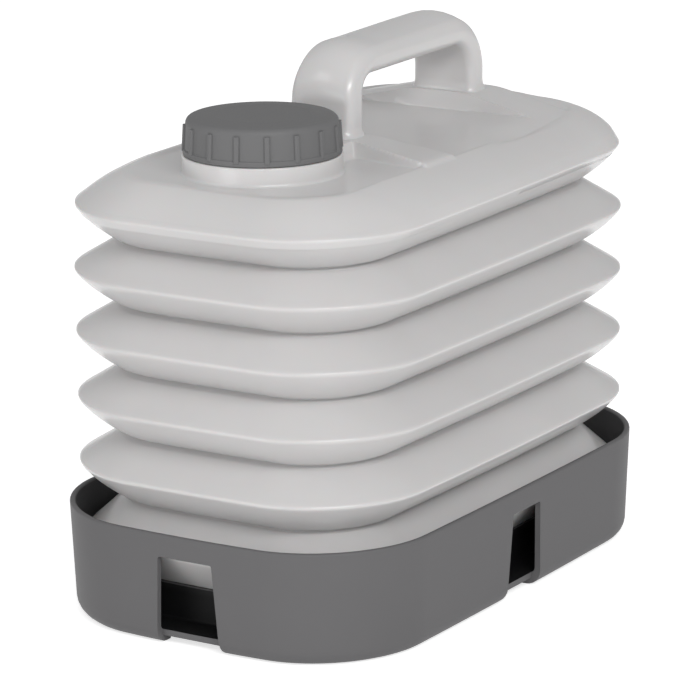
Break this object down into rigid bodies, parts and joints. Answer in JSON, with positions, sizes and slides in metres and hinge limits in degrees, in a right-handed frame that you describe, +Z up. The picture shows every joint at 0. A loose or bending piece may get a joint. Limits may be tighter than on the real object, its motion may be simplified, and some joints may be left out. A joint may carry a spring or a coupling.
{
  "type": "collapsible water container",
  "caption": "Bellows-sided water container with a screw cap and a carrying handle, standing in a loose tray with windows.",
  "frame": {"origin": "on the ground, under the middle of the tray", "axes": "+Z up, X along the length with the neck and cap at the -X end and the handle's bar along X, Y across the width"},
  "size_m": [0.3288, 0.2068, 0.2838],
  "materials": {
    "tray": "dark grey moulded plastic with a fine satin grain",
    "tank": "pale warm grey blow-moulded polyethylene, semi-gloss",
    "cap": "dark grey moulded plastic, satin",
    "seal": "pale soft sealing ring"
  },
  "bodies": {
    "tray": {"tray": "tray"},
    "tank_base": {"tank_bottom": "tank"},
    "fold_1": {"fold_panel_1": "tank", "fold_web_1": "tank"},
    "fold_2": {"fold_panel_2": "tank", "fold_web_2": "tank"},
    "fold_3": {"fold_panel_3": "tank", "fold_web_3": "tank"},
    "fold_4": {"fold_panel_4": "tank", "fold_web_4": "tank"},
    "top": {"top_shell": "tank", "neck": "tank", "handle": "tank", "fold_web_0": "tank"},
    "seal": {"cap_seal": "seal"},
    "cap": {"cap": "cap"}
  },
  "joints": [
    {"name": "tank_lift", "type": "slide", "parent": "tray", "child": "tank_base", "axis": [0, 0, 1], "range_m": [0, 0.05]},
    {"name": "collapse", "type": "slide", "parent": "tank_base", "child": "top", "axis": [0, 0, -1], "range_m": [0, 0.13], "deforming": ["fold_web_0"]},
    {"name": "fold_1_drop", "type": "slide", "parent": "tank_base", "child": "fold_1", "axis": [0, 0, -1], "range_m": [0, 0.105], "deforming": ["fold_web_1"]},
    {"name": "fold_2_drop", "type": "slide", "parent": "tank_base", "child": "fold_2", "axis": [0, 0, -1], "range_m": [0, 0.079], "deforming": ["fold_web_2"]},
    {"name": "fold_3_drop", "type": "slide", "parent": "tank_base", "child": "fold_3", "axis": [0, 0, -1], "range_m": [0, 0.053], "deforming": ["fold_web_3"]},
    {"name": "fold_4_drop", "type": "slide", "parent": "tank_base", "child": "fold_4", "axis": [0, 0, -1], "range_m": [0, 0.027], "deforming": ["fold_web_4"]},
    {"name": "cap_rise", "type": "slide", "parent": "top", "child": "seal", "axis": [0, 0, 1], "range_m": [0, 0.0101]},
    {"name": "cap_turn", "type": "hinge", "parent": "seal", "child": "cap", "pos_m": [-0.0868, 0, 0.25], "axis": [0, 0, 1], "range_deg": [0, 720]}
  ],
  "couplings": [
    {"joint": "fold_1_drop", "follows": "collapse", "ratio": 0.8},
    {"joint": "fold_2_drop", "follows": "collapse", "ratio": 0.6},
    {"joint": "fold_3_drop", "follows": "collapse", "ratio": 0.4},
    {"joint": "fold_4_drop", "follows": "collapse", "ratio": 0.2},
    {"joint": "cap_rise", "follows": "cap_turn", "m_per_rad": 0.00079577}
  ]
}
